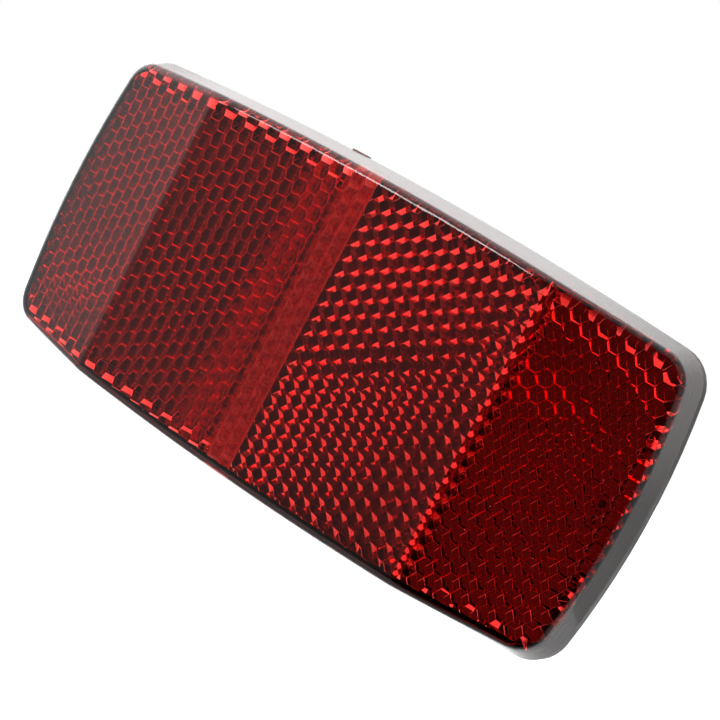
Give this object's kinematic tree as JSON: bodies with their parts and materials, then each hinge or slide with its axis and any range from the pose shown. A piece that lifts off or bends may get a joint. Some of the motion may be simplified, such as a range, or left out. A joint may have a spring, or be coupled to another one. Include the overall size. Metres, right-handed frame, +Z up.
{
  "type": "rack reflector",
  "caption": "Wide red bicycle rack reflector with a prismatic lens whose outer ends fall back, a black back plate and threaded studs behind.",
  "frame": {"origin": "middle of the flat rear face of the back plate, where the reflector seats on the rack", "axes": "+X along the length, +Y out of the rear along the studs, +Z up; the lens faces -Y"},
  "size_m": [0.1022, 0.0248, 0.0473],
  "materials": {
    "lens_red": "clear red, moulded smooth",
    "plate_black": "fine matt moulding",
    "stud_steel": "zinc plated"
  },
  "bodies": {
    "root": {"lens": "lens_red", "back_plate": "plate_black", "studs": "stud_steel"}
  },
  "joints": []
}
